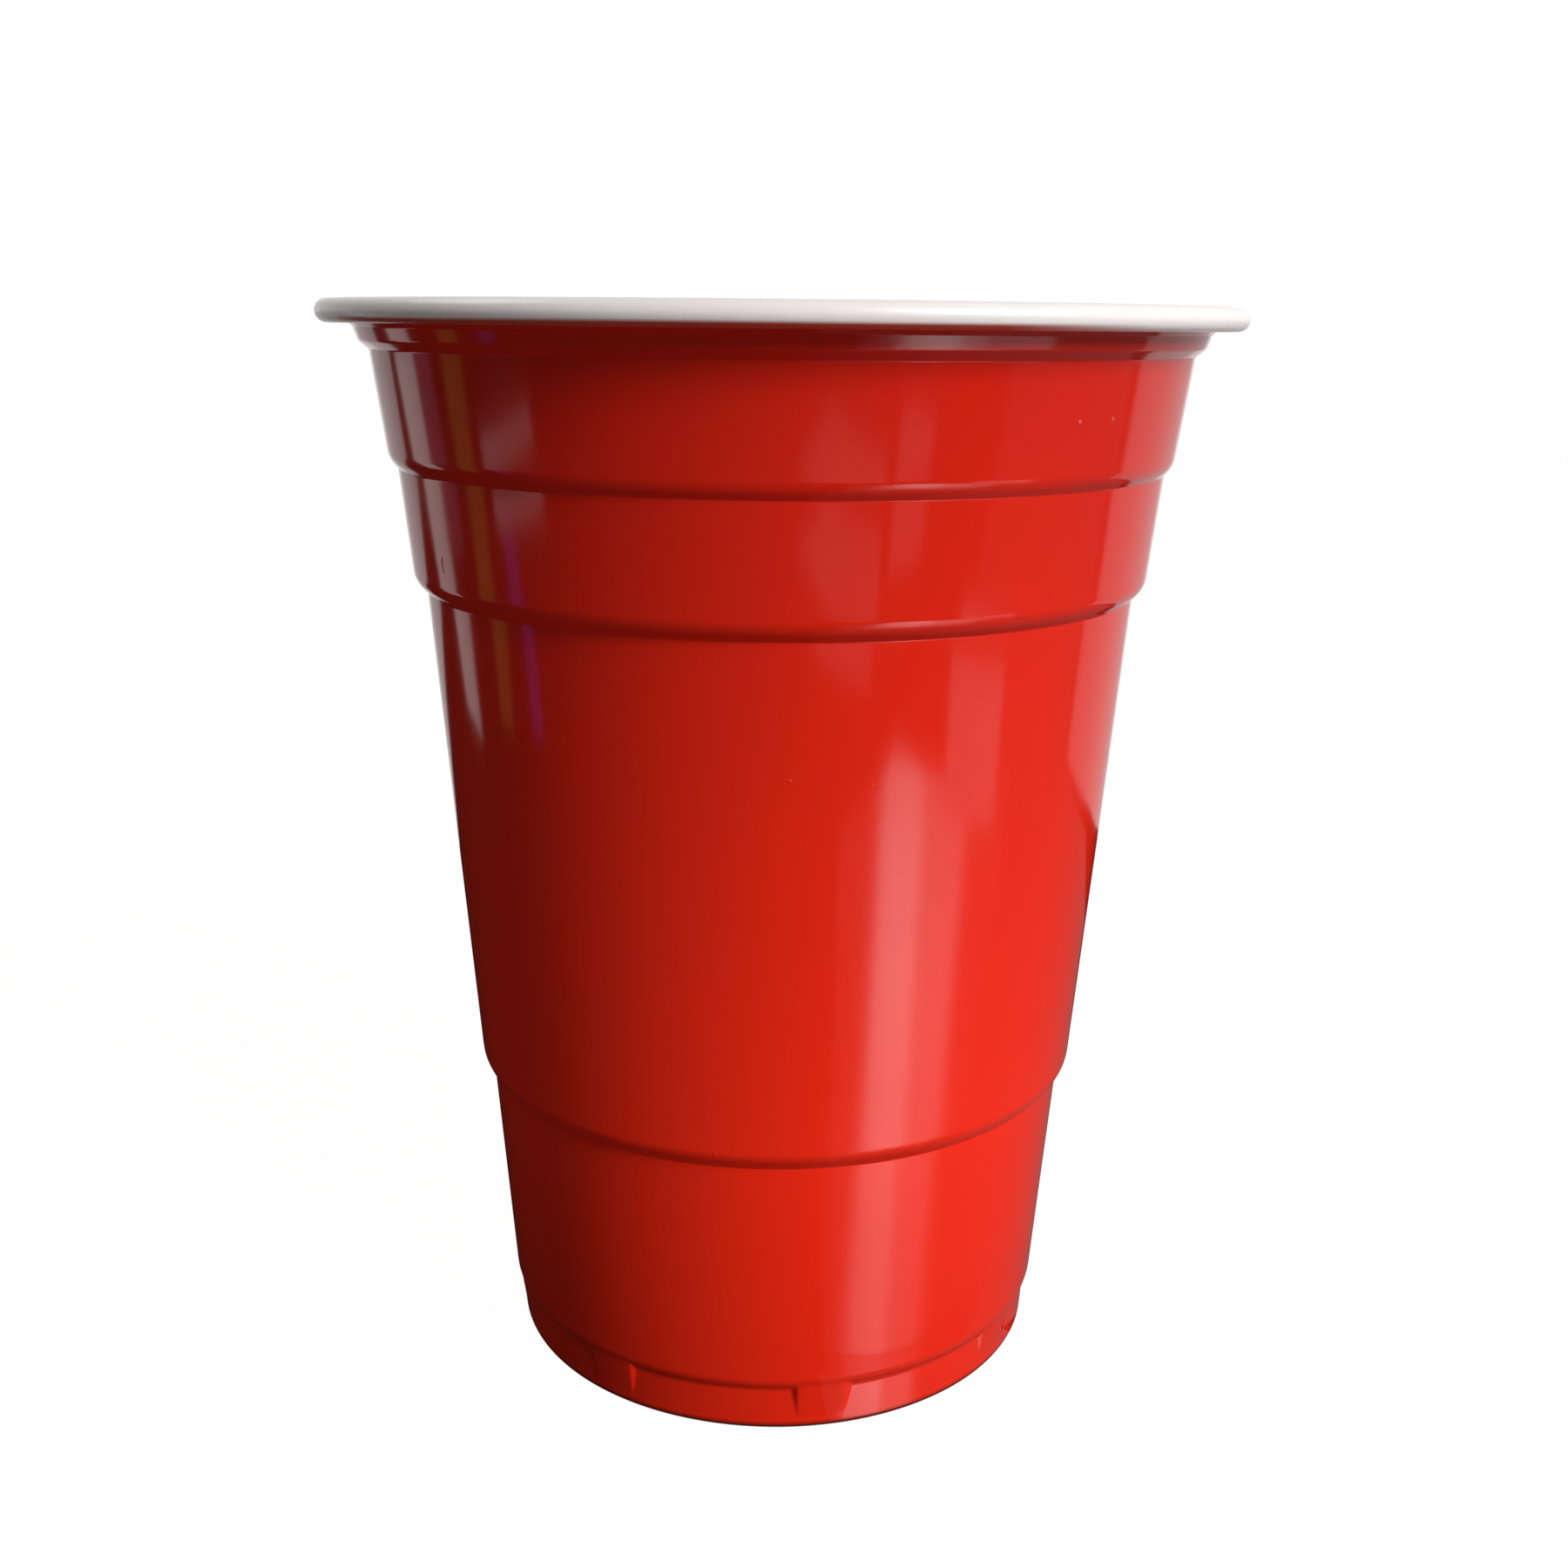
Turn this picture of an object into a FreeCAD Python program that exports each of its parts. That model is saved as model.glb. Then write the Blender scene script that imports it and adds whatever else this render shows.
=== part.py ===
import FreeCAD, Part
import math
import os

import Sketcher

# The cup is one sheet of plastic, formed hot into a tapered beaker. From the floor up it has
# a foot band, a lower wall, a main wall, a belt, a neck and a collar. Each is a plain taper,
# and each stands out from the one below it by a rounded step. The edge of the sheet is rolled
# outwards over the collar into an open lip, and small lugs round the foot keep stacked cups
# apart. Lengths are in millimetres and angles in degrees.

NODE = "cup"

# Driving sizes, each with what it means on the cup
SIZES = (
    ("wall", 0.4, "thickness of the formed sheet"),
    ("foot_radius", 29.48, "foot at the floor, before its heel is rounded"),
    ("foot_height", 5.1, "foot band, from the floor to its crease"),
    ("foot_draft", 4.0, "taper of the foot band"),
    ("ledge_rise", 1.0, "height of the step from foot to lower wall"),
    ("ledge_reach", 0.57, "how far that step stands out"),
    ("lower_height", 25.5, "lower wall"),
    ("lower_draft", 4.45, "taper of the lower wall"),
    ("grip_rise", 1.4, "height of the step from lower wall to main wall"),
    ("grip_reach", 1.1, "how far that step stands out"),
    ("main_height", 52.2, "main wall"),
    ("main_draft", 4.53, "taper of the main wall"),
    ("belt_rise", 1.1, "height of the step from main wall to belt"),
    ("belt_reach", 1.25, "how far that step stands out"),
    ("belt_height", 11.5, "belt, the lower of the two upper bands"),
    ("belt_draft", 6.0, "taper of the belt"),
    ("neck_rise", 1.0, "height of the step from belt to neck"),
    ("neck_reach", 0.87, "how far that step stands out"),
    ("neck_height", 10.7, "neck, the upper of the two upper bands"),
    ("neck_draft", 7.95, "taper of the neck"),
    ("collar_rise", 0.8, "height of the step from neck to collar"),
    ("collar_reach", 0.99, "how far that step stands out"),
    ("collar_height", 1.3, "collar under the lip"),
    ("collar_draft", 20.0, "taper of the collar"),
    ("bend_radius", 0.3, "inside radius of a plain bend in the sheet"),
    ("heel_radius", 0.9, "outside radius where the foot meets the floor"),
    ("roll_radius", 2.4, "soft roll of a wall or band into the step below it"),
    ("crease_radius", 1.2, "soft crease at the top of the foot band"),
    ("ring_width", 3.6, "standing ring, from the heel's rounding inwards"),
    ("panel_lift", 1.4, "how high the base panel is held off the floor"),
    ("panel_draft", 25.0, "taper of the side between ring and panel"),
    ("lip_radius", 1.15, "outside radius of the rolled lip"),
    ("lip_reach", 2.44, "centre of the roll, out from the top of the collar"),
    ("lip_lift", 1.55, "centre of the roll, up from the top of the collar"),
    ("lip_curl", 50.0, "how far past its lowest point the roll curls in"),
    ("lug_count", 8, "stacking lugs round the foot"),
    ("lug_turn", 10.0, "turn of the first lug from the +X axis"),
    ("lug_angle", 9.8, "width of a lug's front, as an angle"),
    ("lug_base", 1.7, "height at which a lug rises out of the foot"),
    ("lug_proud", 0.27, "how far a lug stands out at the top of the foot band"),
    ("lug_splay", 68.0, "slant of a lug's sides, away from square to the wall"),
    ("lug_root", 1.2, "how deep the form of a lug reaches behind its front"),
)

# Each tier of the wall, with the step that leads up to it
TIERS = (
    ("foot", None),
    ("lower", "ledge"),
    ("main", "grip"),
    ("belt", "belt"),
    ("neck", "neck"),
    ("collar", "collar"),
)

# Bends that share a radius: the bends, and the radius on the outer and on the inner face
ROUNDS = (
    ("Heel", ("foot_low",), "heel_radius", "heel_inner"),
    ("Roll", ("lower_low", "main_low", "belt_low", "neck_low"), "roll_radius", "roll_inner"),
    ("Crease", ("foot_top",), "crease_radius", "crease_inner"),
    ("Proud", ("ring", "collar_low"), "bend_wide", "bend_radius"),
    ("Sunk", ("panel", "lower_top", "main_top", "belt_top", "neck_top"), "bend_radius", "bend_wide"),
)

TOUCH = 1e-4

doc = FreeCAD.newDocument("party_cup")
sheet = doc.addObject("Spreadsheet::Sheet", "Sizes")


class Rows:
    """Fills the sheet from the top, one named cell to a row."""

    def __init__(self):
        self.count = 0

    def put(self, alias, content, note=""):
        """Writes one named cell: a plain number, or a formula of other cells."""
        self.count += 1
        sheet.set(f"A{self.count}", alias)
        sheet.set(f"B{self.count}", str(content))
        sheet.set(f"C{self.count}", note)
        sheet.setAlias(f"B{self.count}", alias)


def read(alias):
    """The present value of a cell, as a number."""
    return float(sheet.get(alias))


def fill_sheet():
    """Enters the driving sizes, and works out every bend of the sheet from them."""
    rows = Rows()
    for alias, value, note in SIZES:
        rows.put(alias, value, note)
    rows.put("bend_wide", "=bend_radius + wall", "outside radius of a plain bend")
    rows.put("heel_inner", "=heel_radius - wall")
    rows.put("roll_inner", "=roll_radius - wall")
    rows.put("crease_inner", "=crease_radius + wall")

    # The base: a raised panel, its slanted side and the standing ring
    rows.put("ring_r", "=foot_radius - heel_radius - ring_width")
    rows.put("ring_z", 0)
    rows.put("panel_r", "=ring_r - panel_lift * tan(panel_draft)")
    rows.put("panel_z", "=panel_lift")
    bends = ["panel", "ring"]
    ways = ["0", "panel_draft - 90", "0"]

    # The wall: each tier starts where the step below it ends
    below = None
    for tier, step in TIERS:
        if below is None:
            rows.put(f"{tier}_low_r", "=foot_radius")
            rows.put(f"{tier}_low_z", 0)
        else:
            rows.put(f"{tier}_low_r", f"={below}_top_r + {step}_reach")
            rows.put(f"{tier}_low_z", f"={below}_top_z + {step}_rise")
            rows.put(f"{step}_slope", f"=atan2({step}_rise; {step}_reach) / 1deg")
            ways.append(f"{step}_slope")
        rows.put(f"{tier}_top_r", f"={tier}_low_r + {tier}_height * tan({tier}_draft)")
        rows.put(f"{tier}_top_z", f"={tier}_low_z + {tier}_height")
        ways.append(f"90 - {tier}_draft")
        bends += [f"{tier}_low", f"{tier}_top"]
        below = tier

    # The inner face: at a bend, the two faces lie apart along the line that halves it
    for name, before, after in zip(bends, ways, ways[1:]):
        middle = f"({before} + {after}) / 2"
        half = f"({before} - ({after})) / 2"
        rows.put(f"{name}_in_r", f"={name}_r - wall * sin({middle}) / cos({half})")
        rows.put(f"{name}_in_z", f"={name}_z + wall * cos({middle}) / cos({half})")
    rows.put("mouth_in_r", "=collar_top_r - wall / cos(collar_draft)")

    rows.put("lip_inner", "=lip_radius - wall")
    rows.put("lip_r", "=collar_top_r + lip_reach")
    rows.put("lip_z", "=collar_top_z + lip_lift")

    rows.put("lug_tip_r", "=foot_radius + lug_base * tan(foot_draft)")
    rows.put("lug_lean", "=(foot_top_r + lug_proud - lug_tip_r) / (foot_height - lug_base)")
    rows.put("lug_head_z", "=lower_low_z")
    rows.put("lug_head_r", "=lug_tip_r + lug_lean * (lug_head_z - lug_base)")
    rows.put("lug_half", "=lug_angle / 2")
    rows.put("hollow_inset", "=wall / cos(foot_draft)")
    rows.put("hollow_side", "=wall * tan((90 - lug_splay) / 2)")
    rows.put("hollow_half", "=lug_half - hollow_side / foot_top_r * 180 / pi")
    rows.put("hollow_angle", "=2 * hollow_half")
    doc.recompute()


def sized(alias):
    """The expression that reads one cell of the sheet."""
    return f"Sizes.{alias}"


def worth(expression):
    """The present value of an expression on the sheet's cells."""
    value = sheet.evalExpression(expression.replace("Sizes.", ""))
    return float(getattr(value, "Value", value))


def origin_part(body, role):
    """One of the body's own planes or axes."""
    return next(item for item in body.Origin.OriginFeatures if item.Role == role)


def lay_sketch(body, role, name):
    """A sketch laid on one of the body's own planes."""
    sketch = body.newObject("Sketcher::SketchObject", name)
    sketch.AttachmentSupport = (origin_part(body, role), [""])
    sketch.MapMode = "FlatFace"
    return sketch


def turn_sketch(sketch, axis, lift=None):
    """Turns a sketch to the first lug, and lifts it where a height is named."""
    turn = FreeCAD.Rotation(axis, read("lug_turn"))
    height = FreeCAD.Vector(0, 0, read(lift) if lift else 0)
    sketch.AttachmentOffset = FreeCAD.Placement(height, turn)
    sketch.setExpression("AttachmentOffset.Rotation.Angle", sized("lug_turn"))
    if lift:
        sketch.setExpression("AttachmentOffset.Base.z", sized(lift))


def tie(sketch, rule, name, expression):
    """Adds a constraint whose size follows an expression."""
    index = sketch.addConstraint(rule)
    sketch.renameConstraint(index, name)
    sketch.setExpression(f"Constraints.{name}", expression)


def tie_point(sketch, line, end, name, across, up):
    """Holds one end of a line at its distances from the sketch's origin."""
    for kind, expression, axis, suffix in (
        ("DistanceX", across, -2, "across"),
        ("DistanceY", up, -1, "up"),
    ):
        if expression == "0":
            sketch.addConstraint(Sketcher.Constraint("PointOnObject", line, end, axis))
        else:
            rule = Sketcher.Constraint(kind, -1, 1, line, end, worth(expression))
            tie(sketch, rule, f"{name}_{suffix}", expression)


def draw_outline(sketch, corners):
    """Draws a closed outline of straight lines through corners given as expressions."""
    places = [FreeCAD.Vector(worth(across), worth(up), 0) for name, across, up in corners]
    count = len(places)
    for index in range(count):
        sketch.addGeometry(Part.LineSegment(places[index], places[(index + 1) % count]), False)
    for index in range(count):
        after = (index + 1) % count
        sketch.addConstraint(Sketcher.Constraint("Coincident", index, 2, after, 1))
    for index, (name, across, up) in enumerate(corners):
        tie_point(sketch, index, 1, name, across, up)


def turn_section(body, kind, name, sketch, angle=None):
    """Turns a section about the upright axis, all round or by an angle from the sheet."""
    feature = body.newObject(f"PartDesign::{kind}", name)
    feature.Profile = sketch
    feature.ReferenceAxis = (sketch, ["V_Axis"])
    if angle:
        feature.Midplane = True
        feature.setExpression("Angle", angle)
    else:
        feature.Angle = 360
    doc.recompute()
    return feature


def rings_at(shape, places):
    """Names the circular edges of a shape at the given radii and heights."""
    names = []
    for index, edge in enumerate(shape.Edges, 1):
        if not isinstance(edge.Curve, Part.Circle):
            continue
        for radius, height in places:
            near_radius = abs(edge.Curve.Radius - radius) < TOUCH
            near_height = abs(edge.Curve.Center.z - height) < TOUCH
            if near_radius and near_height:
                names.append(f"Edge{index}")
    return names


def round_bends(body, face, places, radius):
    """Rounds the circular edges at the given places with one radius from the sheet."""
    base = body.Tip
    fillet = body.newObject("PartDesign::Fillet", face)
    fillet.Base = (base, rings_at(base.Shape, places))
    fillet.setExpression("Radius", sized(radius))
    doc.recompute()


def wall_corners(inner):
    """The corners of one face of the sheet, from the middle of the base to the collar."""
    mark = "_in" if inner else ""
    names = ["panel", "ring"]
    for tier, step in TIERS:
        names += [f"{tier}_low", f"{tier}_top"]
    corners = []
    for name in names[:-1]:
        flat = name in ("ring", "foot_low") and not inner
        height = "0" if flat else sized(f"{name}{mark}_z")
        corners.append((name, sized(f"{name}{mark}_r"), height))
    mouth = sized("mouth_in_r") if inner else sized("collar_top_r")
    corners.append(("mouth", mouth, sized("collar_top_z")))
    floor = "Sizes.panel_z + Sizes.wall" if inner else sized("panel_z")
    return [("floor", "0", floor)] + corners + [("top", "0", sized("collar_top_z"))]


def build_face(body, inner):
    """Makes one face of the sheet: the outer form as a solid, or the cavity cut from it."""
    name = "Cavity" if inner else "Form"
    sketch = lay_sketch(body, "XZ_Plane", f"{name}Section")
    draw_outline(sketch, wall_corners(inner))
    turn_section(body, "Groove" if inner else "Revolution", name, sketch)
    mark = "_in" if inner else ""
    for group, bends, outer_radius, inner_radius in ROUNDS:
        places = [(read(f"{bend}{mark}_r"), read(f"{bend}{mark}_z")) for bend in bends]
        radius = inner_radius if inner else outer_radius
        round_bends(body, f"{name}{group}", places, radius)


def build_lugs(body, hollow):
    """Raises the lugs on the outer face, or sinks their hollows into the inner one.

    The front of a lug is turned about the axis, and its slanted sides run between two plans,
    at its tip and at its head. A hollow is the same form, a wall's thickness further in.
    """
    name = "LugHollow" if hollow else "Lug"
    inset = " - Sizes.hollow_inset" if hollow else ""
    half = sized("hollow_half" if hollow else "lug_half")
    ends = (("tip", "lug_base"), ("head", "lug_head_z"))

    section = lay_sketch(body, "XZ_Plane", f"{name}Section")
    turn_sketch(section, FreeCAD.Vector(0, 1, 0))
    root = f"Sizes.lug_tip_r - Sizes.lug_root{inset}"
    draw_outline(
        section,
        [
            ("root_low", root, sized("lug_base")),
            ("tip", f"Sizes.lug_tip_r{inset}", sized("lug_base")),
            ("head", f"Sizes.lug_head_r{inset}", sized("lug_head_z")),
            ("root_top", root, sized("lug_head_z")),
        ],
    )
    angle = sized("hollow_angle" if hollow else "lug_angle")
    front = turn_section(body, "Groove" if hollow else "Revolution", f"{name}Front", section, angle)

    plans = []
    for end, height in ends:
        plan = lay_sketch(body, "XY_Plane", f"{name}Plan_{end}")
        turn_sketch(plan, FreeCAD.Vector(0, 0, 1), height)
        radius = f"(Sizes.lug_{end}_r{inset})"
        front_out = f"{radius} * cos({half})"
        front_side = f"{radius} * sin({half})"
        root_out = f"{front_out} - Sizes.lug_root"
        root_side = f"{front_side} + Sizes.lug_root * tan(Sizes.lug_splay)"
        draw_outline(
            plan,
            [
                ("front_left", front_out, front_side),
                ("front_right", front_out, f"-1 * {front_side}"),
                ("root_right", root_out, f"-1 * ({root_side})"),
                ("root_left", root_out, root_side),
            ],
        )
        plans.append(plan)
    kind = "SubtractiveLoft" if hollow else "AdditiveLoft"
    sides = body.newObject(f"PartDesign::{kind}", f"{name}Sides")
    sides.Profile = plans[0]
    sides.Sections = [plans[1]]
    sides.Ruled = True
    doc.recompute()

    pattern = body.newObject("PartDesign::PolarPattern", f"{name}s")
    pattern.Originals = [front, sides]
    pattern.Axis = (origin_part(body, "Z_Axis"), [""])
    pattern.Angle = 360
    pattern.setExpression("Occurrences", sized("lug_count"))
    body.Tip = pattern
    doc.recompute()


def build_lip(body):
    """Rolls the edge of the sheet: two straight faces lead off the collar into the roll."""
    sketch = lay_sketch(body, "XZ_Plane", "LipSection")
    centre = FreeCAD.Vector(read("lip_r"), read("lip_z"), 0)
    top = read("collar_top_z")
    starts = (
        FreeCAD.Vector(read("mouth_in_r"), top, 0),
        FreeCAD.Vector(read("collar_top_r"), top, 0),
    )
    radii = (read("lip_radius"), read("lip_inner"))
    stop = -90 - read("lip_curl")

    def around(radius, angle):
        """A point on the roll at an angle from straight out."""
        way = math.radians(angle)
        return centre + FreeCAD.Vector(math.cos(way), math.sin(way), 0) * radius

    def tangent_angle(start, radius):
        """Where a straight face from a start point meets the roll on its upper side."""
        to_start = start - centre
        reach = math.degrees(math.acos(radius / to_start.Length))
        return math.degrees(math.atan2(to_start.y, to_start.x)) % 360 - reach

    meets = [tangent_angle(start, radius) for start, radius in zip(starts, radii)]
    for start, radius, meet in zip(starts, radii, meets):
        sketch.addGeometry(Part.LineSegment(start, around(radius, meet)), False)
        circle = Part.Circle(centre, FreeCAD.Vector(0, 0, 1), radius)
        arc = Part.ArcOfCircle(circle, math.radians(stop), math.radians(meet))
        sketch.addGeometry(arc, False)
    sketch.addGeometry(Part.LineSegment(around(radii[0], stop), around(radii[1], stop)), False)
    sketch.addGeometry(Part.LineSegment(starts[1], starts[0]), False)
    outer_line, outer_arc, inner_line, inner_arc, edge, seat = range(6)

    join = Sketcher.Constraint
    sketch.addConstraint(join("Tangent", outer_line, 2, outer_arc, 2))
    sketch.addConstraint(join("Tangent", inner_line, 2, inner_arc, 2))
    sketch.addConstraint(join("Coincident", outer_arc, 3, inner_arc, 3))
    sketch.addConstraint(join("Coincident", outer_arc, 1, edge, 1))
    sketch.addConstraint(join("Coincident", inner_arc, 1, edge, 2))
    sketch.addConstraint(join("Coincident", inner_line, 1, seat, 1))
    sketch.addConstraint(join("Coincident", outer_line, 1, seat, 2))
    tie_point(sketch, outer_line, 1, "inner_start", sized("mouth_in_r"), sized("collar_top_z"))
    tie_point(sketch, inner_line, 1, "outer_start", sized("collar_top_r"), sized("collar_top_z"))
    tie_point(sketch, outer_arc, 3, "centre", sized("lip_r"), sized("lip_z"))
    tie(sketch, join("Radius", outer_arc, radii[0]), "roll_outer", sized("lip_radius"))
    tie(sketch, join("Radius", inner_arc, radii[1]), "roll_inner", sized("lip_inner"))
    sketch.addConstraint(join("PointOnObject", outer_arc, 3, edge))
    turn = math.radians(90 - read("lip_curl"))
    tie(sketch, join("Angle", edge, turn), "roll_end", "(90 - Sizes.lip_curl) * 1deg")
    turn_section(body, "Revolution", "Lip", sketch)


def check_model(body):
    """Stops if any object of the document failed, or the cup isn't one sound solid."""
    for item in doc.Objects:
        if {"Invalid", "Error"} & set(item.State):
            raise RuntimeError(f"{item.Name} failed: {item.State}")
    if body.Shape.isNull() or not body.Shape.isValid() or len(body.Shape.Solids) != 1:
        raise RuntimeError(f"{body.Label} isn't one sound solid")


def main():
    """Builds the cup, checks it and writes its file."""
    fill_sheet()
    body = doc.addObject("PartDesign::Body", "Cup")
    body.Label = NODE
    build_face(body, inner=False)
    build_lugs(body, hollow=False)
    build_face(body, inner=True)
    build_lugs(body, hollow=True)
    build_lip(body)
    check_model(body)
    os.makedirs("parts", exist_ok=True)
    body.Shape.exportStep(f"parts/{NODE}.step")


main()
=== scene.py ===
"""A one-piece party cup: a formed sheet of plastic, red on its outside and white on its inside.

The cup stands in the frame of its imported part, in metres, with the middle of its base over
the origin, its mouth up +Z and the side that is seen first facing -Y.
"""
import logging
import math
from dataclasses import dataclass
from enum import Enum

import bpy
import numpy as np
from mathutils import Matrix, Vector


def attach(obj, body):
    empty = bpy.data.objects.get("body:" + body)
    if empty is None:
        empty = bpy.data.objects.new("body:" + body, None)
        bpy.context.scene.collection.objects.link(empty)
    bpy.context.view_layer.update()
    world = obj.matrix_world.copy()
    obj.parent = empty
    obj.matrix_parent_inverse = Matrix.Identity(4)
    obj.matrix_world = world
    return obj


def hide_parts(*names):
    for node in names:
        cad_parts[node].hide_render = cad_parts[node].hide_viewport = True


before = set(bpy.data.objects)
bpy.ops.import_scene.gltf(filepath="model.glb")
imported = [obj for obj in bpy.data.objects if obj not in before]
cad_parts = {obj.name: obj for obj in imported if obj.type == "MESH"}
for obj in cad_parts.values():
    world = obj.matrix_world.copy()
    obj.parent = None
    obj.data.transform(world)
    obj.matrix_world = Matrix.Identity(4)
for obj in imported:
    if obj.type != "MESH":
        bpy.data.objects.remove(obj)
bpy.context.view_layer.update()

LOG = logging.getLogger("party_cup")
MM = 0.001
LEAST_BEND_POINTS = 3
Array = np.ndarray
Point = tuple[float, float, float]
Colour = tuple[float, float, float, float]


class Face(Enum):
    """The two faces of the sheet, each with its place among the cup's materials."""

    OUTER = 0
    INNER = 1


# Shapes in the cup's section


@dataclass(frozen=True)
class Tier:
    """One plain taper of the wall and the step that leads up to it, in mm and degrees.

    low_round and top_round are the radii of the outer face where the taper starts and ends.
    """

    height: float
    draft: float
    rise: float = 0.0
    reach: float = 0.0
    low_round: float = 2.4
    top_round: float = 0.3


@dataclass(frozen=True)
class Wall:
    """The wall from the floor to the lip, in mm, as tiers that each stand out from the last."""

    foot_radius: float = 29.48
    thickness: float = 0.4
    tiers: tuple[Tier, ...] = (
        Tier(5.1, 4.0, low_round=0.9, top_round=1.2),
        Tier(25.5, 4.45, rise=1.0, reach=0.57),
        Tier(52.2, 4.53, rise=1.4, reach=1.1),
        Tier(11.5, 6.0, rise=1.1, reach=1.25),
        Tier(10.7, 7.95, rise=1.0, reach=0.87),
        Tier(1.3, 20.0, rise=0.8, reach=0.99, low_round=0.7),
    )

    def corners(self) -> tuple[Array, Array]:
        """The corners of the outer face, and the radius that rounds each.

        A tier's lower corner is the one below it plus the step's reach and rise, and its
        upper corner lies its height above, further out by that height times the tangent of
        its draft.

        Returns:
            The corners as rows of radius and height, and their radii, both in mm.
        """
        radius, height = self.foot_radius, 0.0
        corners, rounds = [], []
        for tier in self.tiers:
            radius, height = radius + tier.reach, height + tier.rise
            corners.append((radius, height))
            radius += tier.height * math.tan(math.radians(tier.draft))
            height += tier.height
            corners.append((radius, height))
            rounds += [tier.low_round, tier.top_round]
        return np.array(corners), np.array(rounds)


@dataclass(frozen=True)
class Base:
    """The base: a flat ring that the cup stands on, round a panel held off the floor, in mm."""

    ring_in: float = 4.5
    ring_round: float = 0.7
    panel_lift: float = 1.4
    panel_draft: float = 25.0
    panel_round: float = 0.3

    def corners(self, foot_radius: float) -> tuple[Array, Array]:
        """The middle of the panel and the corners out to the ring, with their radii.

        Args:
            foot_radius: Radius of the foot at the floor, in mm.

        Returns:
            The corners as rows of radius and height, and the radii of all but the first.
        """
        ring = foot_radius - self.ring_in
        panel = ring - self.panel_lift * math.tan(math.radians(self.panel_draft))
        corners = np.array([(0.0, self.panel_lift), (panel, self.panel_lift), (ring, 0.0)])
        return corners, np.array([self.panel_round, self.ring_round])


@dataclass(frozen=True)
class Lip:
    """The rolled edge, in mm and degrees: reach and lift place it from the collar's top."""

    radius: float = 1.15
    reach: float = 2.44
    lift: float = 1.55
    curl: float = 50.0

    def roll(self, start: Array, thickness: float, samples: int) -> tuple[Array, Array]:
        """The outer face's way round inside the roll, from where a straight run meets it.

        The run from the start touches a circle of the inner radius on its upper side: seen
        from the centre, the touching point lies acos(radius / distance) short of the start.
        From there the angle falls to the curl past straight down, and the heading is always
        a quarter turn less than the angle.

        Args:
            start: Radius and height of the collar's top on the outer face, in mm.
            thickness: Thickness of the sheet, in mm.
            samples: Number of points round the roll.

        Returns:
            The points as rows of radius and height, and their headings in radians.
        """
        centre = start + np.array([self.reach, self.lift])
        inner = self.radius - thickness
        back = start - centre
        toward = math.atan2(back[1], back[0]) % (2 * math.pi)
        meet = toward - math.acos(inner / float(np.hypot(*back)))
        angle = np.linspace(meet, math.radians(-90 - self.curl), samples)
        points = centre + inner * np.stack((np.cos(angle), np.sin(angle)), axis=1)
        return points, angle - math.pi / 2


def round_corners(corners: Array, radii: Array, step: float) -> tuple[Array, Array]:
    """Rounds every corner of a line but its two ends.

    A bend starts the radius times the tangent of half the turn before its corner, and keeps
    one curvature: as the heading h leaves h0, its points are the start plus the radius times
    (sin h - sin h0, cos h0 - cos h), with the sign of the turn.

    Args:
        corners: Corners as rows of radius and height.
        radii: Radius of each corner but the ends.
        step: Largest turn from one point of a bend to the next, in radians.

    Returns:
        The points of the rounded line, and the heading at each in radians.
    """
    runs = np.diff(corners, axis=0)
    heading = np.unwrap(np.arctan2(runs[:, 1], runs[:, 0]))
    turn = np.diff(heading)
    along = np.stack((np.cos(heading), np.sin(heading)), axis=1)
    start = corners[1:-1] - along[:-1] * (radii * np.tan(np.abs(turn) / 2))[:, None]
    count = np.maximum(LEAST_BEND_POINTS, np.ceil(np.abs(turn) / step).astype(int) + 1)
    bend = np.repeat(np.arange(len(turn)), count)
    share = np.concatenate([np.linspace(0.0, 1.0, number) for number in count])
    first = heading[bend]
    now = first + turn[bend] * share
    signed = (np.sign(turn) * radii)[bend]
    curve = np.stack((np.sin(now) - np.sin(first), np.cos(first) - np.cos(now)), axis=1)
    points = start[bend] + signed[:, None] * curve
    points = np.vstack((corners[:1], points, corners[-1:]))
    return points, np.concatenate((heading[:1], now, heading[-1:]))


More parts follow.
